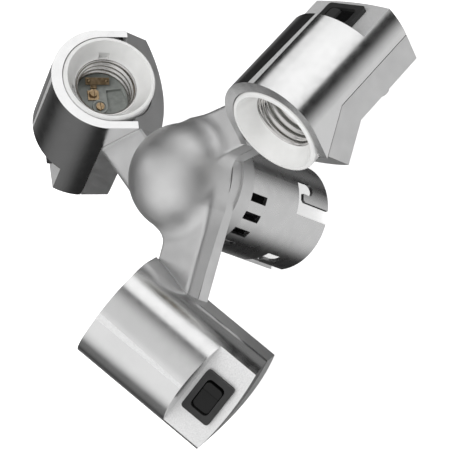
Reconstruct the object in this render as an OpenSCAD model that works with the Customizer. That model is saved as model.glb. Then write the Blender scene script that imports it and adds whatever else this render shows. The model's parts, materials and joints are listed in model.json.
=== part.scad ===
// Three-lamp head for a studio softlight: a die-cast hub on a bayonet tube carries
// three tilted lamp holders, each with its own ceramic screw socket and rocker switch.
// Millimetres, +Z up along the tube, origin at the centre of the tube's open rim.

/* [Layout] */
// Distance of each lamp holder's mouth centre from the tube axis, measured outwards
mouth_out = 57.3; // [57:0.1:58.5]
// Sideways offset of each mouth centre, so that the holders pinwheel round the hub
mouth_side = 24.5; // [24:0.1:25]
// Height of each mouth centre above the tube's open rim
mouth_up = 84.8; // [84:0.1:86]
// Tilt of the lamp axes above the horizontal
tilt = 35; // [34:0.5:36]

/* [Hub castings] */
// Radius of the domed nose
dome_r = 24.7; // [24.5:0.1:25]
// Height of the centre of the dome's sphere
dome_z = 71.5; // [71:0.5:72.5]
// Top of the arms
arm_top = 74.2; // [73.5:0.1:75]
// Height of the joint between the two castings
parting_z = 67; // [66.5:0.1:67.5]
// Underside of the arms
arm_bottom = 61; // [60.5:0.1:61.5]
// Wall thickness of the castings
cast_wall = 2; // [1.8:0.1:2.2]

/* [Bayonet tube] */
// Outer radius of the tube
tube_r = 25.1; // [25:0.05:25.2]
// Wall thickness of the tube
tube_wall = 1.5; // [1.2:0.1:1.8]
// Height of the tube's inner end, under the clamping plate
tube_top = 57.5; // [57.3:0.1:57.8]
// Width of each bayonet slot, for a 6 mm pin
slot_w = 6.2; // [6.1:0.1:6.6]
// Height of the bayonet slots above the rim
slot_top = 21; // [20:0.5:22]
// Depth to which a spigot slides into the tube
spigot_deep = 24; // [23:0.5:24]
// Number of bayonet slots
slot_count = 4; // [2, 4]

/* [Lamp holder] */
// Radius of the lamp cover's barrel
cover_r = 25.6; // [25.5:0.05:25.8]
// Half the width between the cover's flat flanks
flank_x = 25.4; // [25.2:0.05:25.45]
// Wall thickness of the lamp cover
cover_wall = 1.8; // [1.6:0.1:2]
// Distance from the mouth plane back to the rear wall's corners
rear_w = 69; // [68.8:0.1:69.4]
// Height of the switch pad above the lamp axis
pad_u = 15.5; // [15:0.1:16]
// Distance from the mouth plane back to the front of the switch pad
pad_front = 50.1; // [49.8:0.1:50.4]

/* [Socket] */
// Outer radius of the ceramic lip
lip_r = 21.45; // [21:0.05:21.5]
// Outer radius of the ceramic barrel behind the lip
barrel_r = 15.6; // [15.4:0.1:15.8]
// Inner radius of the screw shell, for a 27 mm Edison cap
shell_r = 13.45; // [13.4:0.05:13.5]
// Depth of the screw shell's rim below the mouth plane
shell_in = 9.4; // [9:0.1:10]
// Depth of the socket floor below the mouth plane
floor_in = 20.5; // [20.3:0.1:21]

/* [Rocker switch] */
// Length of the switch bezel across the pad
bezel_len = 21; // [20.5:0.1:21]
// Width of the switch bezel along the lamp axis
bezel_wid = 15; // [14.5:0.1:15]
// Turn of the rocker from one stop to the other
rocker_throw = 16; // [12:1:18]

/* [Hidden] */
$fn = 96;

UNIT_AZ = [90, -30, 210];   // directions in which the three lamp holders point away from the hub
CLEAR = 0.05;               // gap between pieces that sit against each other
FAR = 200;                  // longer than anything here, for cutting tools

arm_front = 0.5;            // an arm's front side, measured square to the arm from the tube axis
arm_rear_top = 23.6;        // its rear side, in the front casting
arm_rear_low = 24.3;        // its rear side, in the rear casting
inner_flank = mouth_out - flank_x;

shell_front = 20;           // how far round the hub the back shells' front walls stand
seam_u = 2.2;               // height of the seam between cover and back shell
seam_gap = 0.35;            // how far the seam stands open
shell_floor_u = -10.7;      // lower corner of the tilted part of the back shell
bow_r = 46.8;               // radius of the bowed undersides
bow_drop = sqrt(bow_r * bow_r - flank_x * flank_x);
rear_bow_r = 150;           // radius of the bowed rear walls
rear_mid_w = rear_w + rear_bow_r - sqrt(rear_bow_r * rear_bow_r - flank_x * flank_x);
arc_u = 1.25;               // centre height of the cover's barrel
mouth_back = 0.92;          // how far the cover's end face stands behind the ceramic lip
shell_top = 75;             // top of the back shells' front parts

collar_r = tube_r + 0.9;
collar_z = 53.5;
plate_t = 1.5;
shoulder_z = tube_top + plate_t;
throat_r = 22;              // opening through the rear casting above the clamping plate

pad_mid = (pad_front + rear_w) / 2;
case_len = 18.6;
case_wid = 12.6;
case_deep = 14;
bezel_t = 2.2;
rocker_len = 14.6;
rocker_wid = 8.8;
rocker_pin_r = 1.2;
rocker_axis_u = pad_u - 1.5;

boss_along = 30;            // casting screws: place along and across each arm
boss_across = 12;
boss_r = 3.4;
m3_r = 1.45;                // shank of a 3 mm screw
m3_head_r = 2.7;
m3_gap_r = 1.6;             // hole that a 3 mm screw passes through
m3_sink_r = 3;              // recess for its head

post_x = 20.2;              // posts for the cover screws
post_w = 47;
post_r = 3.7;
post_seat_u = -7;           // where the cover screws' heads sit
web_t = 3;                  // web that carries the ceramic socket
web_w = 38;                 // depth of the web, and of the ceramic's foot on it
socket_screw_x = 10;
socket_screw_u = -2;
socket_screw_r = 1.3;

contact_bar_t = 0.8;
bar_screw = [2.3, 3.4];     // screws in the socket's floor: the contact bar's and the shell's
shell_screw = [-4.3, 0.8];
floor_screw_r = 1.25;
floor_head_r = 1.9;
leaf_root_x = 5.1;          // hinge line of the centre contact's leaf
leaf_root_w = floor_in - 1.3;
leaf_curl_r = 0.45;
thread_end = 16.9;          // depth at which the shell closes in below its thread
leaf_len = 4.8;
leaf_rise = 17;             // angle of the relaxed leaf above the socket floor
leaf_t = 0.5;
leaf_u = [1.6, 4.6];        // the leaf's sides
head_u = [-4.4, 6.9];       // its T-shaped head's ends
head_wid = 3.4;

tube_screw_az = [120, 240];
tube_screw_z = 55.3;
tube_screw_r = 1.25;
vent_z = [42.3, 52.5];
vent_w = 3.8;
tube_step = 0.6;            // the tube's wall is thicker past the spigot's end
slot_turn = -11.5;          // turn of the bayonet slots from the tube's X direction
insert_z = [25, 36];
insert_recess = 6;
recess_r = 10;
insert_r = 19;
standoff_r = 2;
standoff_ring = 15;
standoff_turn = -50;
pin_ring = 6;
pin_r = 1.6;
cable_r = 4;                // bore of the cable grommet
groove_r = 6;               // the hole in the clamping plate that it sits in
grommet_r = 7.5;
grommet_lip = 1.5;
block_z = [66, 77];
block_len = 24;
block_wid = 10;
block_boss_r = 2.6;
block_screw_x = 9;
wire_screw_r = 1.5;         // the terminal block's wire screws, their spacing and height
wire_screw_x = [-4, 0, 4];
wire_screw_z = block_z[0] + 5;
earth_ring = 17.5;
lead_r = 1.1;
lead_line_x = -19.6;        // where the leads pass the ceramic, and their two heights
lead_lines_u = [-9, -5.8];

// A point round the hub and above its base, as a place along the lamp axis and above it.
function side_point(round, height) = [
    (height - mouth_up) * sin(tilt) - (round - mouth_side) * cos(tilt),
    (height - mouth_up) * cos(tilt) + (round - mouth_side) * sin(tilt)
];

// Height above the lamp axis of the level seam, at a place along the axis.
function level_u(w) = (shell_top - mouth_up - w * sin(tilt)) / cos(tilt);

knee_w = (mouth_up + seam_u * cos(tilt) - shell_top) / sin(tilt);   // where the seam bends
knee_t = mouth_side + seam_u * sin(tilt) + knee_w * cos(tilt);

// Places its children in lamp holder i: X outwards from the hub, Y towards the switch, Z along the lamp.
module holder(i) {
    rotate([0, 0, UNIT_AZ[i]])
        translate([mouth_out, mouth_side, mouth_up])
            rotate([90 - tilt, 0, 0])
                children();
}

// Places its children in the upright frame of lamp holder i: X outwards, Y round the hub, Z up.
module sector(i) {
    rotate([0, 0, UNIT_AZ[i]])
        children();
}

// ---- outlines ----

// One arm seen from above, ending at the lamp holder's inner flank.
module arm_plan(front, rear, end) {
    rotate(30)
        polygon([
            [0, front],
            [(end + front / 2) / cos(30), front],
            [(end + rear / 2) / cos(30), rear],
            [0, rear]
        ]);
}

// The whole hub seen from above: a disc with three arms.
module hub_plan(radius, front, rear, end) {
    circle(r = radius);
    for (i = [0 : 2])
        rotate(UNIT_AZ[i])
            arm_plan(front, rear, end);
}

// The cover's section: a half barrel on two flat flanks.
module cover_section(radius, half) {
    shoulder = arc_u + sqrt(radius * radius - half * half);
    intersection() {
        translate([0, arc_u])
            circle(r = radius, $fn = 160);
        translate([-half, 0])
            square([2 * half, 2 * radius]);
    }
    translate([-half, -30])
        square([2 * half, 30 + shoulder - 1]);
}

// Extrudes a side view across the holder: drawn along the lamp axis in X and upwards in Y.
module across(width) {
    rotate([0, -90, 0])
        linear_extrude(width, center = true)
            children();
}

// ---- castings ----

// Everything in front of the bowed rear wall.
module before_rear_wall(inset) {
    translate([0, 0, rear_bow_r - rear_mid_w])
        rotate([90, 0, 0])
            cylinder(r = rear_bow_r - inset, h = 120, center = true, $fn = 360);
}

// The bowed undersides: a long barrel along the level part or along the tilted part.
module level_barrel(i, inset) {
    sector(i)
        translate([mouth_out, 100, arm_bottom - 0.15 + inset + bow_drop])
            rotate([90, 0, 0])
                cylinder(r = bow_r, h = 120, $fn = 200);
}

module tilted_barrel(inset) {
    translate([0, shell_floor_u + inset + bow_drop, -110])
        cylinder(r = bow_r, h = 120, $fn = 200);
}

// The side view of a back shell, in along-the-lamp and upward steps. The hollow runs on past the seam.
function shell_side(inset) = let(
    over = inset > 0 ? 6 : 0,
    front = shell_front + inset
) [
    side_point(front, 30), side_point(front, shell_top + over), side_point(knee_t, shell_top + over),
    [-knee_w, seam_u + over], [-90, seam_u + over], [-90, -60]
];

// The solid that a back shell fills: inset 0 for the outside, the wall thickness for the inside.
module back_shell(i, inset) {
    intersection() {
        union() {
            level_barrel(i, inset);
            holder(i)
                tilted_barrel(inset);
        }
        holder(i)
            across(2 * (flank_x - inset))
                polygon(shell_side(inset));
        holder(i)
            before_rear_wall(inset);
    }
}

// The web across a back shell that the ceramic socket is screwed to.
module socket_web() {
    difference() {
        intersection() {
            translate([-flank_x + 1, -40, -web_w - web_t])
                cube([2 * flank_x - 2, 40 + seam_u - 0.2, web_t]);
            tilted_barrel(1);
        }
        for (s = [-1, 1])
            translate([s * socket_screw_x, socket_screw_u, -web_w - web_t - 1])
                cylinder(r = socket_screw_r + 0.1, h = web_t + 2);
        // holes for the leads
        for (u = lead_lines_u)
            translate([lead_line_x, u, -web_w - web_t - 1])
                cylinder(r = lead_r + 0.6, h = web_t + 2);
    }
}

// The rear casting's posts for the cover screws, and the holes through them.
module screw_posts() {
    for (s = [-1, 1])
        translate([s * post_x, seam_u - 0.5, -post_w])
            rotate([90, 0, 0])
                cylinder(r = post_r, h = 14.5);
}

module screw_post_holes() {
    for (s = [-1, 1])
        translate([s * post_x, 0, -post_w])
            rotate([90, 0, 0]) {
                translate([0, 0, -10])
                    cylinder(r = m3_gap_r, h = 30);
                translate([0, 0, -post_seat_u])
                    cylinder(r = m3_sink_r, h = 20);
            }
}

// Places its children at the casting screw in arm i.
module casting_screw_place(i) {
    sector(i)
        rotate([0, 0, 30])
            translate([boss_along, boss_across, 0])
                children();
}

module rear_casting() {
    color("silver")
    difference() {
        union() {
            difference() {
                union() {
                    translate([0, 0, arm_bottom])
                        linear_extrude(parting_z - arm_bottom)
                            hub_plan(arm_rear_low + 0.6, arm_front, arm_rear_low, inner_flank + 1);
                    translate([0, 0, collar_z])
                        cylinder(r = collar_r, h = arm_bottom - collar_z);
                    for (i = [0 : 2])
                        back_shell(i, 0);
                }
                // channels for the leads
                translate([0, 0, arm_bottom + cast_wall])
                    linear_extrude(arm_top - arm_bottom - 2 * cast_wall)
                        hub_plan(arm_rear_low - cast_wall - 0.4, arm_front + cast_wall,
                            arm_rear_low - cast_wall, inner_flank + 5);
                for (i = [0 : 2])
                    back_shell(i, cast_wall);
            }
            for (i = [0 : 2]) {
                casting_screw_place(i)
                    translate([0, 0, arm_bottom])
                        cylinder(r = boss_r, h = parting_z - arm_bottom);
                holder(i) {
                    socket_web();
                    screw_posts();
                }
            }
        }
        translate([0, 0, collar_z - 1])
            cylinder(r = tube_r + CLEAR, h = shoulder_z - collar_z + 1);
        translate([0, 0, shoulder_z - 1])
            cylinder(r = throat_r, h = 10);
        for (i = [0 : 2]) {
            casting_screw_place(i) {
                cylinder(r = m3_gap_r, h = FAR);
                cylinder(r = m3_sink_r, h = arm_bottom + 2);
            }
            holder(i) {
                translate([0, 0, -14])
                    cylinder(r = lip_r + 0.6, h = 40);
                screw_post_holes();
            }
        }
        for (a = tube_screw_az)
            rotate([0, 0, a])
                translate([0, 0, tube_screw_z])
                    rotate([0, 90, 0])
                        cylinder(r = tube_screw_r + CLEAR, h = FAR);
    }
}

module front_casting() {
    color("gainsboro")
    difference() {
        union() {
            difference() {
                intersection() {
                    translate([0, 0, parting_z])
                        cylinder(r = 90, h = 60);
                    union() {
                        translate([0, 0, dome_z])
                            sphere(r = dome_r, $fn = 128);
                        translate([0, 0, parting_z])
                            linear_extrude(arm_top - parting_z)
                                hub_plan(10, arm_front, arm_rear_top, inner_flank - CLEAR);
                    }
                }
                translate([0, 0, dome_z])
                    sphere(r = dome_r - cast_wall, $fn = 128);
                translate([0, 0, parting_z - 1])
                    linear_extrude(arm_top - parting_z + 1 - cast_wall)
                        hub_plan(10, arm_front + cast_wall, arm_rear_top - cast_wall, inner_flank + 5);
            }
            intersection() {
                translate([0, 0, dome_z])
                    sphere(r = dome_r - 1, $fn = 128);
                for (s = [-1, 1])
                    translate([s * block_screw_x, 0, block_z[1]])
                        cylinder(r = block_boss_r, h = 30);
            }
            for (i = [0 : 2])
                casting_screw_place(i)
                    translate([0, 0, parting_z])
                        cylinder(r = boss_r, h = arm_top - parting_z - 1);
        }
        for (i = [0 : 2])
            casting_screw_place(i)
                translate([0, 0, parting_z - 1])
                    cylinder(r = m3_r, h = 5.5);
        for (s = [-1, 1])
            translate([s * block_screw_x, 0, block_z[1] - 1])
                cylinder(r = m3_r, h = 6);
    }
}

// ---- bayonet tube and what it holds ----

// One bayonet slot, punched square to its middle: in from the rim, across, and back into a pocket.
module bayonet_slot() {
    pocket_r = 3;
    half = slot_w + 1.75;
    hook_z = slot_top - 3.2;
    pocket_z = slot_top - 7;
    rotate([90, 0, 90])
        translate([0, 0, tube_r - 7])
            linear_extrude(12) {
                polygon([
                    [-half, -1], [-half + slot_w, -1], [-half + slot_w, hook_z - 1.2],
                    [-half + slot_w + 1, hook_z], [half - 5.85, hook_z], [half - 5.85, pocket_z],
                    [half - 0.15, pocket_z], [half - 0.15, slot_top], [-half, slot_top]
                ]);
                translate([half - pocket_r, pocket_z])
                    circle(r = pocket_r);
            }
}

module mount_tube() {
    color("lightgray")
    difference() {
        cylinder(r = tube_r, h = tube_top);
        translate([0, 0, -1])
            cylinder(r = tube_r - tube_wall, h = spigot_deep + 1);
        cylinder(r = tube_r - tube_wall - tube_step, h = tube_top + 1);
        for (k = [0 : slot_count - 1])
            rotate([0, 0, k * 360 / slot_count + slot_turn])
                bayonet_slot();
        for (i = [0 : 2])
            for (k = [0 : 3])
                rotate([0, 0, UNIT_AZ[i] - 60 + k * 20])
                    translate([tube_r - 5, -vent_w / 2, vent_z[0]])
                        cube([10, vent_w, vent_z[1] - vent_z[0]]);
        for (a = tube_screw_az)
            rotate([0, 0, a])
                translate([0, 0, tube_screw_z])
                    rotate([0, 90, 0])
                        cylinder(r = tube_screw_r + CLEAR, h = FAR);
    }
}

module clamp_plate() {
    color("silver")
    difference() {
        translate([0, 0, tube_top])
            cylinder(r = tube_r - CLEAR, h = plate_t);
        translate([0, 0, tube_top - 1])
            cylinder(r = groove_r, h = plate_t + 2);
        translate([0, -earth_ring, tube_top - 1])
            cylinder(r = m3_gap_r, h = plate_t + 2);
        for (a = [0 : 120 : 240])
            rotate([0, 0, a + standoff_turn])
                translate([standoff_ring, 0, tube_top - 1])
                    cylinder(r = m3_gap_r, h = plate_t + 2);
    }
}

module cable_grommet() {
    color("dimgray")
    rotate_extrude()
        polygon([
            [cable_r, tube_top - grommet_lip], [grommet_r, tube_top - grommet_lip],
            [grommet_r, tube_top - CLEAR], [groove_r - CLEAR, tube_top - CLEAR],
            [groove_r - CLEAR, shoulder_z + CLEAR], [grommet_r, shoulder_z + CLEAR],
            [grommet_r, shoulder_z + grommet_lip], [cable_r, shoulder_z + grommet_lip]
        ]);
}

module connector_standoffs() {
    color("silver")
    for (a = [0 : 120 : 240])
        rotate([0, 0, a + standoff_turn])
            translate([standoff_ring, 0, 0]) {
                translate([0, 0, insert_z[1]])
                    cylinder(r = standoff_r, h = tube_top - insert_z[1]);
                translate([0, 0, insert_z[1]])
                    cylinder(r = m3_r, h = shoulder_z - insert_z[1] + 1);
                translate([0, 0, shoulder_z])
                    cylinder(r = m3_head_r, h = 2);
            }
}

module connector_insert() {
    color("dimgray")
    difference() {
        translate([0, 0, insert_z[0]])
            cylinder(r = insert_r, h = insert_z[1] - insert_z[0]);
        translate([0, 0, insert_z[0] - 1])
            cylinder(r = recess_r, h = insert_recess + 1);
        for (a = [0 : 120 : 240])
            rotate([0, 0, a])
                translate([pin_ring, 0, insert_z[0] - 1])
                    cylinder(r = pin_r, h = FAR);
    }
}

module connector_pins() {
    color("gold")
    for (a = [0 : 120 : 240])
        rotate([0, 0, a])
            translate([pin_ring, 0, insert_z[0] + 0.5])
                cylinder(r = pin_r - CLEAR, h = insert_z[1] - insert_z[0] + 0.5);
}

module supply_leads() {
    color("white")
    for (a = [0 : 120 : 240])
        rotate([0, 0, a])
            lead([[pin_ring, 0, insert_z[1] + 1.5], [5, 0, insert_z[1] + 8], [2.2, 0, insert_z[1] + 15],
                [2, 0, shoulder_z + 3], [2.6, 0, block_z[0] - 0.5]]);
}

module terminal_block() {
    color("ivory")
    difference() {
        translate([-block_len / 2, -block_wid / 2, block_z[0]])
            cube([block_len, block_wid, block_z[1] - block_z[0]]);
        for (s = [-1, 1])
            translate([s * block_screw_x, 0, block_z[0] - 1])
                cylinder(r = m3_gap_r, h = 20);
        for (x = wire_screw_x)
            translate([x, 1, wire_screw_z])
                rotate([-90, 0, 0])
                    cylinder(r = wire_screw_r, h = block_wid);
    }
}

module terminal_screws() {
    color("gold")
    for (x = wire_screw_x)
        translate([x, 1.5, wire_screw_z])
            rotate([-90, 0, 0])
                cylinder(r = wire_screw_r - CLEAR, h = block_wid / 2 - 0.5);
}

// A screw pointing up from its head's underside.
module screw(head_r, head_h, shank_r, shank_h) {
    difference() {
        union() {
            translate([0, 0, -head_h])
                cylinder(r = head_r, h = head_h);
            cylinder(r = shank_r, h = shank_h);
        }
        translate([-head_r, -0.35, -head_h - 1])
            cube([2 * head_r, 0.7, 1.6]);
    }
}

module block_screws() {
    color("silver")
    for (s = [-1, 1])
        translate([s * block_screw_x, 0, block_z[0]])
            screw(m3_head_r - 0.2, 1.6, m3_r - CLEAR, block_z[1] - block_z[0] + 4);
}

module casting_screws() {
    color("silver")
    for (i = [0 : 2])
        casting_screw_place(i)
            translate([0, 0, arm_bottom + 2])
                screw(m3_head_r, 1.8, m3_r - CLEAR, 8);
}

module tube_screws() {
    color("silver")
    for (a = tube_screw_az)
        rotate([0, 0, a])
            translate([collar_r, 0, tube_screw_z])
                rotate([0, -90, 0])
                    screw(2.2, 1.4, tube_screw_r, 3.5);
}

module earth_screw() {
    color("gold")
    translate([0, -earth_ring, shoulder_z])
        mirror([0, 0, 1])
            screw(m3_head_r, 2, m3_r, 5);
}

// ---- leads ----

// Point (along, across, height) of an arm, in its lamp holder's own frame.
function in_holder(along, across, height) = let(
    out = along * cos(30) - across * sin(30),
    side = along * sin(30) + across * cos(30) - mouth_side,
    up = height - mouth_up
) [out - mouth_out, side * sin(tilt) + up * cos(tilt), up * sin(tilt) - side * cos(tilt)];

function unit(v) = v / norm(v);

function lead_heading(path, k) = unit(path[min(k + 1, len(path) - 1)] - path[max(k - 1, 0)]);

function lead_ring(path, k, sides) = let(
    ahead = lead_heading(path, k),
    side = unit(cross(ahead, [0.31, 0.52, 0.79])),
    up = cross(ahead, side)
) [for (j = [0 : sides - 1]) path[k] + lead_r * (cos(360 * j / sides) * side + sin(360 * j / sides) * up)];

// A lead that follows a path, as one closed skin.
module lead(path) {
    sides = 8;
    last = len(path) - 1;
    points = [for (k = [0 : last]) each lead_ring(path, k, sides)];
    walls = [for (k = [0 : last - 1], j = [0 : sides - 1], half = [0, 1]) let(
        here = k * sides + j,
        next = k * sides + (j + 1) % sides
    ) half == 0 ? [here, next, next + sides] : [here, next + sides, here + sides]];
    caps = [
        [for (j = [sides - 1 : -1 : 0]) j],
        [for (j = [0 : sides - 1]) last * sides + j]
    ];
    polyhedron(points, concat(walls, caps));
}

module lamp_leads(i) {
    color("black")
    holder(i)
        for (k = [0, 1]) {
            u = lead_lines_u[k];
            lead([
                in_holder(13.5, 6.5 + 3 * k, 68.5), in_holder(16, 5 + 3 * k, 66),
                in_holder(22, 4.6 + 3 * k, 65), in_holder(36, 4.6 + 3 * k, 65), in_holder(43, 6 + 3 * k, 65),
                [lead_line_x, u, -18], [lead_line_x, u, -24], [lead_line_x, u, -34], [lead_line_x, u, -42],
                [-14, -9 + 3 * k, -44.5], [-12, -9 + 3 * k, -50],
                [-7 + 9 * k, -9, -56], [-5 + 10 * k, -6, -pad_mid]
            ]);
        }
}

// ---- one lamp holder ----

module lamp_cover(i) {
    color("gainsboro")
    holder(i)
    difference() {
        union() {
            difference() {
                cover_block(0);
                cover_block(cover_wall);
            }
            intersection() {
                for (s = [-1, 1])
                    translate([s * post_x, seam_u - 0.5, -post_w])
                        rotate([-90, 0, 0])
                            cylinder(r = post_r - 0.5, h = 30);
                cover_block(cover_wall - 0.6);
            }
        }
        cylinder(r = lip_r + 0.35, h = 40, center = true);
        translate([-lip_r - 0.35, -40, -20])
            cube([2 * lip_r + 0.7, 40, 40]);
        translate([-case_len / 2 - 0.1, 0, -pad_mid - case_wid / 2 - 0.1])
            cube([case_len + 0.2, 40, case_wid + 0.2]);
        for (s = [-1, 1])
            translate([s * post_x, 0, -post_w])
                rotate([-90, 0, 0])
                    cylinder(r = m3_r, h = 9);
    }
}

// The cover's outer block, or with an inset the hollow inside it.
module cover_block(inset) {
    flange = inset > 0 ? 2.6 : 0;
    // the hollow runs on below the seam, so that it is open underneath
    drop = inset > 0 ? 30 : 0;
    intersection() {
        translate([0, 0, -rear_mid_w - 1])
            linear_extrude(rear_mid_w + 1 - mouth_back - flange)
                cover_section(cover_r - inset, flank_x - inset);
        before_rear_wall(inset);
        across(100)
            polygon([
                [-90, seam_u + seam_gap - drop], [-knee_w, seam_u + seam_gap - drop],
                [0, level_u(0) + seam_gap - drop], [20, level_u(20) + seam_gap - drop], [20, 60],
                [-pad_front + 6 + inset * 1.1, 60], [-pad_front + inset * 1.1, pad_u - inset],
                [-90, pad_u - inset]
            ]);
    }
}

module lamp_socket(i) {
    bore = shell_r + 0.5 + CLEAR;
    color("white")
    holder(i)
    difference() {
        rotate_extrude($fn = 128)
            polygon([
                [0, -web_w], [barrel_r, -web_w], [barrel_r, -13], [lip_r, -10], [lip_r, -1],
                [lip_r - 0.8, 0], [lip_r - 1.9, 0], [bore + 1.2, -shell_in + 1], [bore + 0.6, -shell_in],
                [bore, -shell_in], [bore, -floor_in], [0, -floor_in]
            ]);
        for (s = [-1, 1])
            translate([s * socket_screw_x, socket_screw_u, -web_w - 1])
                cylinder(r = socket_screw_r, h = 5);
        for (at = [bar_screw, shell_screw])
            translate([at[0], at[1], -floor_in - 3.5])
                cylinder(r = floor_screw_r + CLEAR, h = 10);
        // hollow foot, for the wiring
        translate([0, 0, -web_w - 1])
            cylinder(r = 7, h = web_w - floor_in - 5);
    }
}

module screw_shell(i) {
    color("lightgray")
    holder(i)
    difference() {
        translate([0, 0, -floor_in + CLEAR])
            cylinder(r = shell_r + 0.5, h = floor_in - shell_in + 0.6, $fn = 128);
        translate([0, 0, -thread_end])
            cylinder(r = shell_r, h = thread_end, $fn = 128);
        translate([0, 0, -floor_in - 1])
            cylinder(r = shell_r - 0.45, h = floor_in, $fn = 128);
    }
}

module contact_bar(i) {
    color("gold")
    holder(i)
    difference() {
        translate([bar_screw[0] - 3.2, bar_screw[1] - 2.6, -floor_in])
            cube([4.9, 5.2, contact_bar_t]);
        translate([bar_screw[0], bar_screw[1], -floor_in - 1])
            cylinder(r = floor_screw_r + CLEAR, h = 4);
    }
}

module centre_contact(i) {
    color("gold")
    holder(i)
        translate([leaf_root_x, 0, -leaf_root_w])
            rotate([0, -leaf_rise, 0]) {
                translate([0, leaf_u[0], 0])
                    rotate([-90, 0, 0])
                        cylinder(r = leaf_curl_r, h = leaf_u[1] - leaf_u[0], $fn = 32);
                translate([0, leaf_u[0], -leaf_t / 2])
                    cube([leaf_len, leaf_u[1] - leaf_u[0], leaf_t]);
                translate([leaf_len - head_wid, head_u[0], -leaf_t / 2])
                    cube([head_wid, head_u[1] - head_u[0], leaf_t + 0.3]);
            }
}

module contact_screws(i) {
    color("gold")
    holder(i) {
        translate([bar_screw[0], bar_screw[1], -floor_in + contact_bar_t])
            mirror([0, 0, 1])
                screw(floor_head_r, 1.3, floor_screw_r, 3.6);
        translate([shell_screw[0], shell_screw[1], -floor_in])
            mirror([0, 0, 1])
                screw(floor_head_r, 1.3, floor_screw_r, 3);
    }
}

module socket_screws(i) {
    color("silver")
    holder(i)
        for (s = [-1, 1])
            translate([s * socket_screw_x, socket_screw_u, -web_w - web_t])
                screw(2.3, 1.6, socket_screw_r - CLEAR, web_t + 3.5);
}

module switch_body(i) {
    color("dimgray")
    holder(i)
        translate([0, 0, -pad_mid])
            difference() {
                union() {
                    translate([-bezel_len / 2, pad_u, -bezel_wid / 2])
                        cube([bezel_len, bezel_t, bezel_wid]);
                    translate([-case_len / 2, pad_u - case_deep, -case_wid / 2])
                        cube([case_len, case_deep + 1, case_wid]);
                }
                translate([-rocker_len / 2 - 0.3, rocker_axis_u - 3.6, -rocker_wid / 2 - 0.3])
                    cube([rocker_len + 0.6, 20, rocker_wid + 0.6]);
                translate([0, rocker_axis_u, 0])
                    cylinder(r = rocker_pin_r + CLEAR, h = rocker_wid + 3.6, center = true, $fn = 48);
            }
}

module switch_rocker(i) {
    half = rocker_len / 2 - 0.4;
    color("black")
    holder(i)
        translate([0, rocker_axis_u, -pad_mid])
            rotate([0, 0, -rocker_throw / 2]) {
                translate([0, 0, -rocker_wid / 2])
                    linear_extrude(rocker_wid)
                        polygon([[-half, -2], [half, -2], [half, 3.3], [0, 2.1], [-half, 3.3]]);
                cylinder(r = rocker_pin_r, h = rocker_wid + 3, center = true, $fn = 48);
            }
}

module switch_terminals(i) {
    color("gold")
    holder(i)
        for (s = [-1, 1])
            translate([s * 5 - 2.4, pad_u - case_deep - 6.5, -pad_mid - 0.4])
                cube([4.8, 6.5, 0.8]);
}

module cover_screws(i) {
    color("silver")
    holder(i)
        for (s = [-1, 1])
            translate([s * post_x, post_seat_u, -post_w])
                rotate([-90, 0, 0])
                    screw(m3_head_r, 2, m3_r - CLEAR, 15);
}

front_casting();
rear_casting();
mount_tube();
clamp_plate();
cable_grommet();
terminal_block();
terminal_screws();
block_screws();
casting_screws();
tube_screws();
connector_insert();
connector_pins();
connector_standoffs();
supply_leads();
earth_screw();
lamp_cover(0);  // lamp_cover_a
lamp_cover(1);  // lamp_cover_b
lamp_cover(2);  // lamp_cover_c
lamp_socket(0);  // lamp_socket_a
lamp_socket(1);  // lamp_socket_b
lamp_socket(2);  // lamp_socket_c
screw_shell(0);  // screw_shell_a
screw_shell(1);  // screw_shell_b
screw_shell(2);  // screw_shell_c
contact_bar(0);  // contact_bar_a
contact_bar(1);  // contact_bar_b
contact_bar(2);  // contact_bar_c
centre_contact(0);  // centre_contact_a
centre_contact(1);  // centre_contact_b
centre_contact(2);  // centre_contact_c
contact_screws(0);  // contact_screws_a
contact_screws(1);  // contact_screws_b
contact_screws(2);  // contact_screws_c
socket_screws(0);  // socket_screws_a
socket_screws(1);  // socket_screws_b
socket_screws(2);  // socket_screws_c
switch_body(0);  // switch_body_a
switch_body(1);  // switch_body_b
switch_body(2);  // switch_body_c
switch_rocker(0);  // switch_rocker_a
switch_rocker(1);  // switch_rocker_b
switch_rocker(2);  // switch_rocker_c
switch_terminals(0);  // switch_terminals_a
switch_terminals(1);  // switch_terminals_b
switch_terminals(2);  // switch_terminals_c
cover_screws(0);  // cover_screws_a
cover_screws(1);  // cover_screws_b
cover_screws(2);  // cover_screws_c
lamp_leads(0);  // lamp_leads_a
lamp_leads(1);  // lamp_leads_b
lamp_leads(2);  // lamp_leads_c
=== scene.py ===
"""The look of a three-lamp studio light head: a polished die-cast hub, three tilted lamp holders
with ceramic screw sockets, rocker switches and a bayonet tube.

Shapes are worked out in millimetres, in the part's own frame, and turned into metres as they are made.
"""
import json
import math

import bmesh
import bpy
import numpy as np
from mathutils import Matrix, Vector

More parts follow.
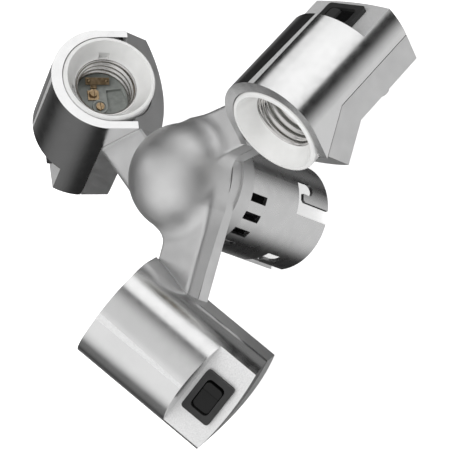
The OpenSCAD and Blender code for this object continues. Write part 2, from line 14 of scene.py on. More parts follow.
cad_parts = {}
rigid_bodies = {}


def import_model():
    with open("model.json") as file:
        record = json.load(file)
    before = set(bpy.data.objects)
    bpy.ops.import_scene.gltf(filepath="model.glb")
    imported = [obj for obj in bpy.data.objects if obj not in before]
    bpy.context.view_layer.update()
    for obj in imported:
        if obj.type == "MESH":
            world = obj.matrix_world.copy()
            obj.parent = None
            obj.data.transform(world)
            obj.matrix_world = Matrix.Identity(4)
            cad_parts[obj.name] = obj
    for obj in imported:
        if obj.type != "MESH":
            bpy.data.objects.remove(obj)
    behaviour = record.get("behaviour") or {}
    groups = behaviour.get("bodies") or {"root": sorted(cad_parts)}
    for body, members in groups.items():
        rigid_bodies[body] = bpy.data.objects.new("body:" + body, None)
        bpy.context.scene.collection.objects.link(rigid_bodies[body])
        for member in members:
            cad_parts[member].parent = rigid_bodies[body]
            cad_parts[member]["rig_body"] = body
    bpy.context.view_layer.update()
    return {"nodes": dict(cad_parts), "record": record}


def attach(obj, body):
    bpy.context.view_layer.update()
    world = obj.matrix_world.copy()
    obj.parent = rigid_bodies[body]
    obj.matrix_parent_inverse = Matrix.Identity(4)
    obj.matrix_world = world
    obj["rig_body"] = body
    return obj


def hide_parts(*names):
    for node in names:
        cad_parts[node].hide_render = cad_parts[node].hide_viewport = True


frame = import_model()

MM = 0.001
LETTERS = "abc"
UNIT_AZ = {"a": 90, "b": -30, "c": 210}

# ---- sizes shared with the CAD part, in millimetres ----
MOUTH = Vector((57.3, 24.5, 84.8))
TILT = 35
FLANK_X = 25.4
PAD_U = 15.5
PAD_MID = 59.55
LIP_R = 21.45
SHELL_R = 13.45
SHELL_RIM = 8.75            # depth of the screw shell's rim below the mouth
FLOOR_IN = 20.5
WEB_W = 38
BARREL_R = 15.6
FOOT_R = 7                  # hollow foot of the ceramic
CUP_FLOOR = FLOOR_IN + 2.6  # the ceramic's own floor, just under the bare one
SHELL_SCREW = (-4.3, 0.8)
LEAF_ROOT_X = 5.1           # centre contact: hinge line, length, sides, rise above the floor
LEAF_LEN = 4.8
LEAF_U = (1.6, 4.6)
LEAF_T = 0.5
LEAF_RISE = 17
HEAD_U = (-4.4, 6.9)        # its T-shaped head: ends and width
HEAD_WID = 3.4
CURL_R = 0.45
DOME_R = 24.7
DOME_Z = 71.5
PARTING_Z = 67
SEAM_GAP = 0.3              # open line between the two castings, which the CAD part leaves closed
ARM_FRONT = 0.5
BEZEL = (21, 15, 2.2)
ROCKER = (14.6, 8.8)
ROCKER_THROW = 16
ROCKER_AXIS_U = PAD_U - 1.5
ROCKER_GAP = 0.3
ROCKER_PIN_R = 1.2
WINDOW_ROUND = 2.2

# ---- camera and studio ----
CAMERA_AT = (0.65943, -0.50294, 0.90141)
CAMERA_TURN = (18.3165, 40.4973, -9.4124)
LENS = 211.15
SENSOR = 36
FILL_AT = (0.2, -0.3, 1.6)
FILL_AIM = (0, 0, 0.06)
FILL_SIZE = (1.8, 1.8)
FILL_POWER = 17
PAPER_GLOW = 0.7
DARKEST = 0.022
# cards and softboxes: azimuth, elevation, half width where full and where gone in degrees, strength
CARDS = (
    (-115, 40, 18, 62, 0.92),
    (-60, 78, 22, 62, 0.72),
    (18, 15, 12, 18, 1.15),
    (36, 18, 13, 19, 1.2),
    (54, 19, 13, 19, 1.15),
    (72, 18, 12, 17, 1.0),
    (143, 46, 6, 16, 1.5),
    (-38, -50, 20, 54, 0.75),
    (70, -30, 17, 22, 0.2),
    (148, -38, 8, 34, 0.2),
    (-158, 0, 8, 34, 0.16),
)


# ---------------------------------------------------------------- placing


def upright(letter):
    """The upright frame of one lamp holder: X outwards from the hub, Y round it, Z up."""
    return Matrix.Rotation(math.radians(UNIT_AZ[letter]), 4, "Z")


def holder(letter):
    """The lamp holder's own frame: X outwards, Y towards the switch, Z along the lamp."""
    turn = Matrix.Rotation(math.radians(90 - TILT), 4, "X")
    return upright(letter) @ Matrix.Translation(MOUTH) @ turn


def in_metres(matrix):
    return Matrix.Scale(MM, 4) @ matrix


# ---------------------------------------------------------------- mesh helpers


def to_object(name, bm, body, materials, replaced=(), angle=35):
    """Makes a piece of a bmesh that is already in metres, with edges sharper than angle kept sharp."""
    bmesh.ops.recalc_face_normals(bm, faces=bm.faces)
    for face in bm.faces:
        face.smooth = True
    limit = math.radians(angle)
    for edge in bm.edges:
        edge.smooth = len(edge.link_faces) == 2 and edge.calc_face_angle(0) < limit
    mesh = bpy.data.meshes.new(name)
    bm.to_mesh(mesh)
    bm.free()
    piece = bpy.data.objects.new(name, mesh)
    bpy.context.scene.collection.objects.link(piece)
    for material in materials:
        mesh.materials.append(material)
    weigh_normals(piece)
    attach(piece, body)
    if replaced:
        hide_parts(*replaced)
    return piece


def weigh_normals(piece):
    """Weighs the normals by face area, so that flat faces stay flat beside their rounded edges."""
    modifier = piece.modifiers.new("weigh", "WEIGHTED_NORMAL")
    modifier.keep_sharp = True
    modifier.weight = 90
    depsgraph = bpy.context.evaluated_depsgraph_get()
    weighed = bpy.data.meshes.new_from_object(piece.evaluated_get(depsgraph))
    piece.modifiers.clear()
    bare, piece.data = piece.data, weighed
    bpy.data.meshes.remove(bare)


def bevel(bm, width, angle=35, segments=2):
    """Rounds the edges that are sharper than angle. Width is in the bmesh's own units."""
    limit = math.radians(angle)
    sharp = [e for e in bm.edges if len(e.link_faces) == 2 and e.calc_face_angle(0) > limit]
    bmesh.ops.bevel(bm, geom=sharp, offset=width, segments=segments, profile=0.6,
                    affect="EDGES", clamp_overlap=True)


def lathe(bm, profile, sides=96):
    """Turns a closed profile of (radius, height) points round Z."""
    rings = []
    for k in range(sides):
        turn = 2 * math.pi * k / sides
        rings.append([bm.verts.new((r * math.cos(turn), r * math.sin(turn), z)) for r, z in profile])
    for k in range(sides):
        here, after = rings[k], rings[(k + 1) % sides]
        for j in range(len(profile)):
            n = (j + 1) % len(profile)
            bm.faces.new((here[j], after[j], after[n], here[n]))
    bmesh.ops.remove_doubles(bm, verts=bm.verts, dist=1e-4)


def prism(bm, outline, low, high):
    """A straight prism on a closed outline of (x, y) points."""
    bottom = [bm.verts.new((x, y, low)) for x, y in outline]
    top = [bm.verts.new((x, y, high)) for x, y in outline]
    bm.faces.new(bottom[::-1])
    bm.faces.new(top)
    for k in range(len(outline)):
        n = (k + 1) % len(outline)
        bm.faces.new((bottom[k], bottom[n], top[n], top[k]))


def box(bm, low, high):
    corners = [(low[0], low[1]), (high[0], low[1]), (high[0], high[1]), (low[0], high[1])]
    prism(bm, corners, low[2], high[2])


def disc(bm, centre, radius, low, high, sides=32):
    turns = [2 * math.pi * k / sides for k in range(sides)]
    outline = [(centre[0] + radius * math.cos(t), centre[1] + radius * math.sin(t)) for t in turns]
    prism(bm, outline, low, high)


def rounded_rectangle(length, width, radius, steps=6):
    points = []
    for k, (sx, sy) in enumerate(((1, 1), (-1, 1), (-1, -1), (1, -1))):
        for j in range(steps + 1):
            turn = math.radians(90 * (k + j / steps))
            points.append((sx * (length / 2 - radius) + radius * math.cos(turn),
                           sy * (width / 2 - radius) + radius * math.sin(turn)))
    return points


def boolean(bm, cutter, operation="DIFFERENCE"):
    """Cuts or joins two bmeshes and gives the result as a new one. Both are used up."""
    parts = []
    for source in (bm, cutter):
        bmesh.ops.recalc_face_normals(source, faces=source.faces)
        mesh = bpy.data.meshes.new("part")
        source.to_mesh(mesh)
        source.free()
        part = bpy.data.objects.new("part", mesh)
        bpy.context.scene.collection.objects.link(part)
        parts.append(part)
    modifier = parts[0].modifiers.new("cut", "BOOLEAN")
    modifier.operation = operation
    modifier.solver = "EXACT"
    modifier.object = parts[1]
    depsgraph = bpy.context.evaluated_depsgraph_get()
    cut = bmesh.new()
    cut.from_object(parts[0], depsgraph)
    for part in parts:
        bpy.data.objects.remove(part)
    return cut


def refined(node, width, materials, choose=None, angle=35):
    """A CAD node's own shape with its edges rounded, as a new piece that stands for the node."""
    source = frame["nodes"][node]
    bm = bmesh.new()
    bm.from_mesh(source.data)
    bmesh.ops.remove_doubles(bm, verts=bm.verts, dist=2e-6)
    bmesh.ops.dissolve_limit(bm, angle_limit=math.radians(0.1), verts=bm.verts, edges=bm.edges)
    bevel(bm, width * MM, angle)
    bmesh.ops.triangulate(bm, faces=[f for f in bm.faces if len(f.verts) > 4])
    if choose:
        for face in bm.faces:
            face.material_index = choose(face)
    return to_object(node + "_shaped", bm, source["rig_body"], materials, [node], angle)


# ---------------------------------------------------------------- smooth solids from distance fields


def soft_min(a, b, blend):
    near = np.clip(blend - np.abs(a - b), 0, None) / blend
    return np.minimum(a, b) - near * near * blend / 4


def soft_max(a, b, blend):
    return -soft_min(-a, -b, blend)


def surface_of(field, low, high, step):
    """The surface where field(x, y, z) is zero, as quads between one point in each crossed cell."""
    axes = [np.arange(a, b + step, step) for a, b in zip(low, high)]
    value = field(*np.meshgrid(*axes, indexing="ij"))
    inside = value < 0
    count = np.zeros([n - 1 for n in value.shape], int)
    total = np.zeros(list(count.shape) + [3])
    for axis in range(3):
        others = [a for a in range(3) if a != axis]
        for shift in ((0, 0), (0, 1), (1, 0), (1, 1)):
            first = [slice(0, -1)] * 3
            for other, s in zip(others, shift):
                first[other] = slice(s, value.shape[other] - 1 + s)
            second = list(first)
            second[axis] = slice(1, None)
            a, b = value[tuple(first)], value[tuple(second)]
            crossed = inside[tuple(first)] != inside[tuple(second)]
            share = np.where(crossed, a / np.where(crossed, a - b, 1), 0)
            count += crossed
            total[..., axis] += share
            for other, s in zip(others, shift):
                total[..., other] += crossed * s
    active = count > 0
    number = np.full(count.shape, -1)
    number[active] = np.arange(active.sum())
    cell = np.argwhere(active)
    points = np.array(low) + step * (cell + total[active] / count[active][:, None])
    quads = []
    for axis in range(3):
        first, second = [slice(None)] * 3, [slice(None)] * 3
        first[axis], second[axis] = slice(0, -1), slice(1, None)
        crossed = np.argwhere(inside[tuple(first)] != inside[tuple(second)])
        b_axis, c_axis = (axis + 1) % 3, (axis + 2) % 3
        keep = np.all([crossed[:, o] > 0 for o in (b_axis, c_axis)]
                      + [crossed[:, o] < number.shape[o] for o in (b_axis, c_axis)], axis=0)
        crossed = crossed[keep]
        corners = []
        for db, dc in ((-1, -1), (0, -1), (0, 0), (-1, 0)):
            at = crossed.copy()
            at[:, b_axis] += db
            at[:, c_axis] += dc
            corners.append(number[tuple(at.T)])
        quad = np.stack(corners, 1)
        flip = ~inside[tuple(crossed.T)]
        quad[flip] = quad[flip][:, ::-1]
        quads.append(quad)
    return points, np.concatenate(quads)


def slope_of(field, points, reach=0.02):
    slope = np.zeros_like(points)
    for axis in range(3):
        shift = np.zeros(3)
        shift[axis] = reach
        slope[:, axis] = field(*(points + shift).T) - field(*(points - shift).T)
    return slope / (2 * reach)


def settle(field, points, rounds=4):
    """Moves the points onto the surface where the field is zero."""
    for _ in range(rounds):
        slope = slope_of(field, points)
        size = np.clip((slope ** 2).sum(1), 0.2, None)
        points = points - slope * (field(*points.T) / size)[:, None]
    return points


# ---------------------------------------------------------------- materials


class Shader:
    """One procedural material that is being put together."""

    def __init__(self, name, colour, metallic, roughness):
        self.material = bpy.data.materials.new(name)
        self.material.use_nodes = True
        self.nodes = self.material.node_tree.nodes
        self.links = self.material.node_tree.links
        self.bsdf = self.nodes["Principled BSDF"]
        self.bsdf.inputs["Base Color"].default_value = (*colour, 1)
        self.bsdf.inputs["Metallic"].default_value = metallic
        self.bsdf.inputs["Roughness"].default_value = roughness
        self.place = self.nodes.new("ShaderNodeTexCoord").outputs["Object"]
        self.height = None

    def noise(self, size, detail=3, stretch=None, turn=None):
        """Noise whose grains are about size millimetres across."""
        place = self.place
        if stretch:
            mapping = self.nodes.new("ShaderNodeMapping")
            mapping.inputs["Scale"].default_value = stretch
            if turn:
                mapping.inputs["Rotation"].default_value = turn
            self.links.new(place, mapping.inputs["Vector"])
            place = mapping.outputs["Vector"]
        texture = self.nodes.new("ShaderNodeTexNoise")
        texture.inputs["Scale"].default_value = 1 / (size * MM)
        texture.inputs["Detail"].default_value = detail
        self.links.new(place, texture.inputs["Vector"])
        return texture.outputs["Fac"]

    def spread(self, value, low, high, start=0.3, end=0.7):
        """Maps noise onto a range."""
        ranged = self.nodes.new("ShaderNodeMapRange")
        for key, number in (("From Min", start), ("From Max", end), ("To Min", low), ("To Max", high)):
            ranged.inputs[key].default_value = number
        self.links.new(value, ranged.inputs["Value"])
        return ranged.outputs["Result"]

    def rough(self, value, low, high):
        self.links.new(self.spread(value, low, high), self.bsdf.inputs["Roughness"])

    def tint(self, value, dark, light):
        ramp = self.nodes.new("ShaderNodeValToRGB")
        ramp.color_ramp.elements[0].position = 0.3
        ramp.color_ramp.elements[1].position = 0.7
        ramp.color_ramp.elements[0].color = (*dark, 1)
        ramp.color_ramp.elements[1].color = (*light, 1)
        self.links.new(value, ramp.inputs["Fac"])
        self.links.new(ramp.outputs["Color"], self.bsdf.inputs["Base Color"])

    def bump(self, value, depth, strength=1.0):
        """Adds relief depth millimetres high."""
        node = self.nodes.new("ShaderNodeBump")
        node.inputs["Distance"].default_value = depth * MM
        node.inputs["Strength"].default_value = strength
        self.links.new(value, node.inputs["Height"])
        if self.height:
            self.links.new(self.height, node.inputs["Normal"])
        self.height = node.outputs["Normal"]
        self.links.new(self.height, self.bsdf.inputs["Normal"])

    def coat(self, weight, roughness):
        self.bsdf.inputs["Coat Weight"].default_value = weight
        self.bsdf.inputs["Coat Roughness"].default_value = roughness


def grey(value, warm=0.0):
    return (value * (1 + warm), value, value * (1 - warm))


def metal(name, colour, low, high, grain=0.25, relief=0.004, cloud=9, shade=0.06):
    """A metal with uneven polish: clouded colour, grainy roughness and a faint relief."""
    shader = Shader(name, colour, 1, low)
    dark = tuple(c * (1 - shade) for c in colour)
    shader.tint(shader.noise(cloud, 4), dark, colour)
    shader.rough(shader.noise(cloud / 3, 5), low, high)
    shader.bump(shader.noise(grain, 2), relief)
    return shader


def speckled_pad():
    """Fine matte aluminium, lightly blasted."""
    shader = metal("pad_alloy", grey(0.80), 0.42, 0.5, grain=0.35, relief=0.02, cloud=3, shade=0.08)
    shader.tint(shader.noise(0.5, 2), grey(0.66), grey(0.82))
    shader.bsdf.inputs["Metallic"].default_value = 0.45
    return shader.material


def polished_cover():
    shader = metal("cover_alloy", grey(0.80), 0.16, 0.24, grain=0.3, relief=0.002, cloud=14, shade=0.05)
    shader.bump(shader.noise(14, 2), 0.03)
    return shader.material


def cast_metal():
    shader = metal("cast_alloy", grey(0.82), 0.46, 0.54, grain=0.4, relief=0.0015, cloud=16, shade=0.05)
    shader.bump(shader.noise(24, 2), 0.03)
    return shader.material


def turned_metal():
    shader = metal("tube_metal", grey(0.74), 0.24, 0.33, grain=0.3, relief=0.001, cloud=12)
    shader.bump(shader.noise(0.5, 2, stretch=(0.02, 0.02, 1)), 0.0015)
    return shader.material


def brass():
    shader = metal("brass", (0.5, 0.36, 0.22), 0.28, 0.42, grain=0.3, relief=0.01, cloud=2.5)
    shader.tint(shader.noise(1.8, 4), (0.26, 0.18, 0.10), (0.5, 0.37, 0.23))
    return shader.material


def zinc():
    return metal("zinc_steel", grey(0.66, -0.01), 0.25, 0.4, grain=0.2, relief=0.004, cloud=3).material


def nickel():
    shader = metal("nickel", grey(0.72, 0.02), 0.14, 0.26, grain=0.4, relief=0.003, cloud=5, shade=0.12)
    return shader.material


def glazed_ceramic():
    shader = Shader("ceramic", grey(0.76), 0, 0.22)
    shader.tint(shader.noise(7, 3), (0.73, 0.73, 0.72), (0.79, 0.79, 0.78))
    shader.rough(shader.noise(3, 3), 0.16, 0.26)
    shader.bump(shader.noise(5, 3), 0.04)
    shader.bump(shader.noise(0.5, 2), 0.003)
    shader.coat(0.4, 0.08)
    return shader.material


def bare_ceramic():
    """The unglazed floor of the socket, with a grey-green tone, painted darker than the glaze as painted
    shade for the bottom of the socket.
    """
    # grey 0.30 to 0.42 with a faint green cast: painted shade for the floor deep in the socket, laid over
    # the bare ceramic's own tone
    shader = Shader("bare_ceramic", grey(0.4), 0, 0.6)
    shader.tint(shader.noise(2.5, 4), (0.30, 0.32, 0.30), (0.42, 0.44, 0.42))
    shader.rough(shader.noise(1.2, 3), 0.45, 0.7)
    shader.bump(shader.noise(0.6, 4), 0.05)
    return shader.material


def plastic(name, colour, low, high, grain=0.25, relief=0.01, shine=0.5):
    shader = Shader(name, colour, 0, low)
    shader.bsdf.inputs["Specular IOR Level"].default_value = shine
    shader.tint(shader.noise(6, 3), tuple(c * 0.85 for c in colour), tuple(c * 1.15 for c in colour))
    shader.rough(shader.noise(2, 3), low, high)
    shader.bump(shader.noise(grain, 2), relief)
    return shader.material


MATERIALS = {
    "cast_alloy": cast_metal(),
    "cover_alloy": polished_cover(),
    "pad_alloy": speckled_pad(),
    "tube_metal": turned_metal(),
    "zinc_steel": zinc(),
    "nickel": nickel(),
    "brass": brass(),
    "ceramic": glazed_ceramic(),
    "bare_ceramic": bare_ceramic(),
    "switch_case": plastic("switch_case", grey(0.028), 0.38, 0.5, relief=0.02, shine=0.3),
    "rocker_black": plastic("rocker_black", grey(0.006), 0.08, 0.14, grain=1.2, relief=0.004, shine=0.25),
    "dark_plastic": plastic("dark_plastic", grey(0.035), 0.4, 0.55),
    "block_plastic": plastic("block_plastic", (0.78, 0.76, 0.68), 0.4, 0.55),
    "black_rubber": plastic("black_rubber", grey(0.03), 0.6, 0.75),
    "lead_black": plastic("lead_black", grey(0.025), 0.45, 0.6),
    "lead_white": plastic("lead_white", grey(0.76), 0.4, 0.55),
}


# ---------------------------------------------------------------- hub


def arm_field(x, y, z, turn):
    """Distance field of one arm, whose lamp holder stands at this many degrees."""
    along_dir, out_dir = math.radians(turn + 30), math.radians(turn)
    along = x * math.cos(along_dir) + y * math.sin(along_dir)
    across = -x * math.sin(along_dir) + y * math.cos(along_dir)
    out = x * math.cos(out_dir) + y * math.sin(out_dir)
    top = z - (75.1 - 0.032 * along)
    drop = 75 - z
    rear = (across - (23.9 - 0.035 * along) - 0.27 * drop) * 0.965
    front = ARM_FRONT - across
    inner_end = -4 - along
    outer_end = out - (MOUTH.x - FLANK_X + 0.9)
    ridge = soft_max(top, rear, 1.6)
    sink = 0.45 * np.clip(11 - along, 0, 20)
    return soft_max(soft_max(ridge, front, 0.8), np.maximum(inner_end, outer_end), 0.3) + sink


def hub_field(x, y, z):
    dome = np.sqrt(x * x + y * y + (z - DOME_Z) ** 2) - DOME_R
    arms = None
    for turn in UNIT_AZ.values():
        arm = arm_field(x, y, z, turn)
        arms = arm if arms is None else np.minimum(arms, arm)
    return soft_min(dome, arms, 7)


def front_casting():
    """The domed front half of the hub, with its three arms blended into the dome."""
    reach = 60
    points, quads = surface_of(hub_field, (-reach, -reach, PARTING_Z - 3), (reach, reach, 98), 0.8)
    points = settle(hub_field, points)
    bm = bmesh.new()
    verts = [bm.verts.new(p * MM) for p in points]
    for quad in quads:
        bm.faces.new([verts[k] for k in quad])
    cut = bmesh.ops.bisect_plane(bm, geom=bm.verts[:] + bm.edges[:] + bm.faces[:],
                                 plane_co=(0, 0, (PARTING_Z + SEAM_GAP) * MM), plane_no=(0, 0, -1),
                                 clear_outer=True)
    rim = [e for e in cut["geom_cut"] if isinstance(e, bmesh.types.BMEdge)]
    bmesh.ops.triangle_fill(bm, edges=rim, use_beauty=True)
    return to_object("front_casting_shaped", bm, "head", [MATERIALS["cast_alloy"]],
                     ["front_casting"], angle=50)


# ---------------------------------------------------------------- lamp holders


def cover(letter):
    """The U-shaped cover, polished, with its switch pad blasted matte."""
    pad_normal = (holder(letter).to_3x3() @ Vector((0, 1, 0))).normalized()

    def finish_of(face):
        return 1 if face.normal.dot(pad_normal) > 0.9995 else 0

    return refined(f"lamp_cover_{letter}", 0.45, [MATERIALS["cover_alloy"], MATERIALS["pad_alloy"]],
                   choose=finish_of)


def socket_cup(letter):
    """The flared ceramic cup, with two slots beside the shell and a hollow foot."""
    flare_steps = 10
    bore = SHELL_R + 0.55
    profile = [(bore, -CUP_FLOOR), (bore, -SHELL_RIM - 0.65)]
    for k in range(flare_steps + 1):
        share = k / flare_steps
        profile.append((bore + 1.0 + (LIP_R - 1.9 - bore - 1.0) * share ** 0.9,
                        -SHELL_RIM + 0.35 + (SHELL_RIM - 0.35) * share))
    for k in range(1, 7):
        turn = math.radians(90 - 15 * k)
        profile.append((LIP_R - 1.2 + 1.2 * math.cos(turn), -1.2 + 1.2 * math.sin(turn)))
    profile += [(LIP_R, -9.6), (LIP_R - 0.3, -10.1), (BARREL_R + 0.4, -12.9), (BARREL_R, -13.3)]
    profile += [(BARREL_R, -WEB_W), (FOOT_R, -WEB_W), (FOOT_R, -FLOOR_IN - 5), (0, -FLOOR_IN - 5)]
    profile += [(0, -CUP_FLOOR)]
    bm = bmesh.new()
    lathe(bm, profile, 128)
    for turn in (8, -92):
        slot = bmesh.new()
        box(slot, (14.2, -2.4, -9.6), (16.3, 2.4, 2))
        slot.transform(Matrix.Rotation(math.radians(turn + 90), 4, "Z"))
        bm = boolean(bm, slot)
    bm.transform(in_metres(holder(letter)))
    return to_object(f"lamp_socket_{letter}_shaped", bm, "head", [MATERIALS["ceramic"]],
                     [f"lamp_socket_{letter}"], angle=40)


def socket_floor(letter):
    """The unglazed floor inside the shell: a recess to one side and a raised boss for the shell's screw."""
    bm = bmesh.new()
    disc(bm, (0, 0), SHELL_R + 0.4, -FLOOR_IN - 2.5, -FLOOR_IN, 96)
    pit = bmesh.new()
    recess = [(4.5, -3), (5.5, -10.5), (-2, -12.6), (-9.5, -8), (-8, -4), (-3, -3.2)]
    prism(pit, recess, -FLOOR_IN - 2, -FLOOR_IN + 1)
    bm = boolean(bm, pit)
    bevel(bm, 0.4)
    boss = bmesh.new()
    disc(boss, SHELL_SCREW, 3.6, -FLOOR_IN - 0.5, -FLOOR_IN + 0.9, 48)
    hole = bmesh.new()
    disc(hole, SHELL_SCREW, 2.7, -FLOOR_IN + 0.05, -FLOOR_IN + 2, 48)
    boss = boolean(boss, hole)
    bevel(boss, 0.2, 50)
    mesh = bpy.data.meshes.new("boss")
    boss.to_mesh(mesh)
    boss.free()
    bm.from_mesh(mesh)
    bpy.data.meshes.remove(mesh)
    bm.transform(in_metres(holder(letter)))
    return to_object(f"socket_floor_{letter}", bm, "head", [MATERIALS["bare_ceramic"]])


def screw_shell(letter):
    """The rolled thread: one skin with its thickness, wound at the pitch of an Edison cap."""
    pitch, wave, skin = 3.63, 0.62, 0.35
    sides, low, high, step = 96, -FLOOR_IN + 0.1, -SHELL_RIM, 0.24
    heights = np.arange(low, high + step / 2, step)
    bm = bmesh.new()
    rings = []
    for z in heights:
        ring = []
        for k in range(sides):
            turn = 2 * math.pi * k / sides
            fade = min(1, max(0, (high - 0.9 - z) / 0.8))
            phase = 2 * math.pi * z / pitch - turn
            radius = SHELL_R + 0.1 + fade * (wave * math.sin(phase) - 0.35)
            lip = max(0, (z - (high - 0.9)) / 0.9)
            radius += 0.55 * lip * lip
            ring.append((radius, turn, z))
        rings.append(ring)
    inner = [[bm.verts.new((r * math.cos(t), r * math.sin(t), z)) for r, t, z in ring] for ring in rings]
    outer = [[bm.verts.new(((r + skin) * math.cos(t), (r + skin) * math.sin(t), z)) for r, t, z in ring]
             for ring in rings]
    for k in range(sides):
        n = (k + 1) % sides
        for j in range(len(rings) - 1):
            bm.faces.new((inner[j][k], inner[j + 1][k], inner[j + 1][n], inner[j][n]))
            bm.faces.new((outer[j][k], outer[j][n], outer[j + 1][n], outer[j + 1][k]))
        bm.faces.new((inner[-1][k], outer[-1][k], outer[-1][n], inner[-1][n]))
        bm.faces.new((inner[0][k], inner[0][n], outer[0][n], outer[0][k]))
    bm.transform(in_metres(holder(letter)))
    return to_object(f"screw_shell_{letter}_shaped", bm, "head", [MATERIALS["nickel"]],
                     [f"screw_shell_{letter}"], angle=70)


def rocker(letter):
    """The glossy rocker: two faces that meet at a small step, a third of the way from the middle."""
    half = ROCKER[0] / 2 - 0.4
    crease = -half / 3
    outline = [(-half, -2), (half, -2), (half, 3.2), (crease + 0.4, 2.2), (crease, 2.75), (-half, 3.3)]
    bm = bmesh.new()
    prism(bm, outline, -ROCKER[1] / 2, ROCKER[1] / 2)
    plan = bmesh.new()
    prism(plan, rounded_rectangle(2 * half, ROCKER[1], 2, 8), -4, 4)
    plan.transform(Matrix.Rotation(math.radians(90), 4, "X"))
    bm = boolean(bm, plan, "INTERSECT")
    bevel(bm, 0.3, 40, 3)
    bmesh.ops.triangulate(bm, faces=[f for f in bm.faces if len(f.verts) > 4])
    pins = bmesh.new()
    disc(pins, (0, 0), ROCKER_PIN_R, -ROCKER[1] / 2 - 1.5, ROCKER[1] / 2 + 1.5)
    bm = boolean(bm, pins, "UNION")
    turn = Matrix.Rotation(math.radians(-ROCKER_THROW / 2), 4, "Z")
    place = holder(letter) @ Matrix.Translation((0, ROCKER_AXIS_U, -PAD_MID)) @ turn
    bm.transform(in_metres(place))
    return to_object(f"switch_rocker_{letter}_shaped", bm, f"rocker_{letter}",
                     [MATERIALS["rocker_black"]], [f"switch_rocker_{letter}"], angle=30)


def bezel(letter):
    """The switch's rounded frame and case, with the rocker's window through it."""
    length, width, thick = BEZEL
    bm = bmesh.new()
    prism(bm, rounded_rectangle(length, width, 1.6), 0, thick)
    bevel(bm, 0.5, 40, 3)
    case = bmesh.new()
    box(case, (-9.3, -6.3, -14), (9.3, 6.3, 0.4))
    bm = boolean(bm, case, "UNION")
    window = bmesh.new()
    opening = [size + 2 * ROCKER_GAP for size in ROCKER]
    prism(window, rounded_rectangle(*opening, WINDOW_ROUND, 8), -5.1, thick + 1)
    bm = boolean(bm, window)
    flat = Matrix(((1, 0, 0, 0), (0, 0, 1, 0), (0, -1, 0, 0), (0, 0, 0, 1)))
    bm.transform(in_metres(holder(letter) @ Matrix.Translation((0, PAD_U, -PAD_MID)) @ flat))
    return to_object(f"switch_body_{letter}_shaped", bm, "head", [MATERIALS["switch_case"]],
                     [f"switch_body_{letter}"], angle=40)


def centre_contact(letter):
    """The T-shaped brass leaf, curled over at its root and dimpled on its head."""
    half = LEAF_T / 2
    leaf = bmesh.new()
    box(leaf, (0, LEAF_U[0], -half), (LEAF_LEN, LEAF_U[1], half))
    head = bmesh.new()
    box(head, (LEAF_LEN - HEAD_WID, HEAD_U[0], -half), (LEAF_LEN, HEAD_U[1], half + 0.3))
    leaf = boolean(leaf, head, "UNION")
    bevel(leaf, 0.18, 40)
    curl = bmesh.new()
    disc(curl, (0, 0), CURL_R, -LEAF_U[1], -LEAF_U[0], 24)
    curl.transform(Matrix.Rotation(math.radians(90), 4, "X"))
    leaf = boolean(leaf, curl, "UNION")
    for across in (-2.9, 5.4):
        dimple = bmesh.new()
        bmesh.ops.create_uvsphere(dimple, u_segments=20, v_segments=12, radius=1.1)
        dimple.transform(Matrix.Translation((LEAF_LEN - HEAD_WID / 2, across, 0.05)))
        leaf = boolean(leaf, dimple, "UNION")
    rise = Matrix.Rotation(math.radians(-LEAF_RISE), 4, "Y")
    leaf.transform(in_metres(holder(letter) @ Matrix.Translation((LEAF_ROOT_X, 0, -FLOOR_IN + 1.3)) @ rise))
    return to_object(f"centre_contact_{letter}_shaped", leaf, f"contact_{letter}",
                     [MATERIALS["brass"]], [f"centre_contact_{letter}"], angle=40)


# ---------------------------------------------------------------- studio


def floor():
    bm = bmesh.new()
    bmesh.ops.create_grid(bm, x_segments=1, y_segments=1, size=6)
    mesh = bpy.data.meshes.new("studio_floor")
    bm.to_mesh(mesh)
    bm.free()
    piece = bpy.data.objects.new("studio_floor", mesh)
    bpy.context.scene.collection.objects.link(piece)
    paper = Shader("studio_paper", grey(0.92), 0, 0.9)
    paper.tint(paper.noise(60, 3), grey(0.915), grey(0.925))
    paper.bsdf.inputs["Emission Color"].default_value = (1, 1, 1, 1)
    paper.bsdf.inputs["Emission Strength"].default_value = PAPER_GLOW
    mesh.materials.append(paper.material)
    piece.visible_glossy = False


def area_light(name, at, target, size, power):
    light = bpy.data.lights.new(name, "AREA")
    light.shape = "RECTANGLE"
    light.size, light.size_y = size
    light.energy = power
    lamp = bpy.data.objects.new(name, light)
    bpy.context.scene.collection.objects.link(lamp)
    lamp.location = at
    lamp.rotation_euler = (Vector(target) - Vector(at)).to_track_quat("-Z", "Y").to_euler()
    lamp.visible_glossy = False


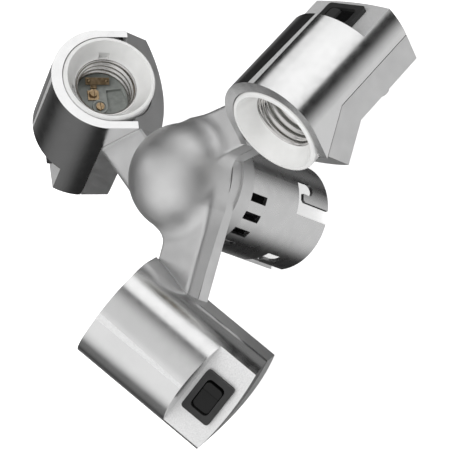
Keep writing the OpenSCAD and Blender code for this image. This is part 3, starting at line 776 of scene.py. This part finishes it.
def sky():
    """Soft surroundings for the metal to mirror: dark, with a few broad white cards and softboxes."""
    world = bpy.data.worlds.new("studio")
    bpy.context.scene.world = world
    world.use_nodes = True
    nodes, links = world.node_tree.nodes, world.node_tree.links
    place = nodes.new("ShaderNodeTexCoord").outputs["Generated"]
    level = None
    for azimuth, elevation, inner, outer, strength in CARDS:
        a, e = math.radians(azimuth), math.radians(elevation)
        facing = nodes.new("ShaderNodeVectorMath")
        facing.operation = "DOT_PRODUCT"
        facing.inputs[1].default_value = (math.cos(a) * math.cos(e), math.sin(a) * math.cos(e), math.sin(e))
        links.new(place, facing.inputs[0])
        card = nodes.new("ShaderNodeMapRange")
        card.interpolation_type = "SMOOTHSTEP"
        card.inputs["From Min"].default_value = math.cos(math.radians(outer))
        card.inputs["From Max"].default_value = math.cos(math.radians(inner))
        card.inputs["To Min"].default_value = DARKEST
        card.inputs["To Max"].default_value = strength
        links.new(facing.outputs["Value"], card.inputs["Value"])
        if level is None:
            level = card.outputs["Result"]
        else:
            brighter = nodes.new("ShaderNodeMath")
            brighter.operation = "MAXIMUM"
            links.new(level, brighter.inputs[0])
            links.new(card.outputs["Result"], brighter.inputs[1])
            level = brighter.outputs["Value"]
    links.new(level, nodes["Background"].inputs["Strength"])
    nodes["Background"].inputs["Color"].default_value = (1, 1, 1, 1)


def camera():
    data = bpy.data.cameras.new("camera")
    data.lens = LENS
    data.sensor_width = SENSOR
    data.clip_start, data.clip_end = 0.05, 50
    view = bpy.data.objects.new("camera", data)
    bpy.context.scene.collection.objects.link(view)
    view.location = CAMERA_AT
    view.rotation_euler = [math.radians(a) for a in CAMERA_TURN]
    bpy.context.scene.camera = view


camera()
floor()
sky()
area_light("fill", FILL_AT, FILL_AIM, FILL_SIZE, FILL_POWER)

bpy.context.scene.view_settings.view_transform = "Standard"

front_casting()
refined("rear_casting", 0.4, [MATERIALS["cast_alloy"]])
for letter in LETTERS:
    cover(letter)
    socket_cup(letter)
    socket_floor(letter)
    screw_shell(letter)
    rocker(letter)
    bezel(letter)
    centre_contact(letter)

SLOT_OF = {row["node"]: row["material_slot"] for row in frame["record"]["subparts"]}
for name, node in frame["nodes"].items():
    if not node.hide_render:
        node.data.materials.clear()
        node.data.materials.append(MATERIALS[SLOT_OF[name]])
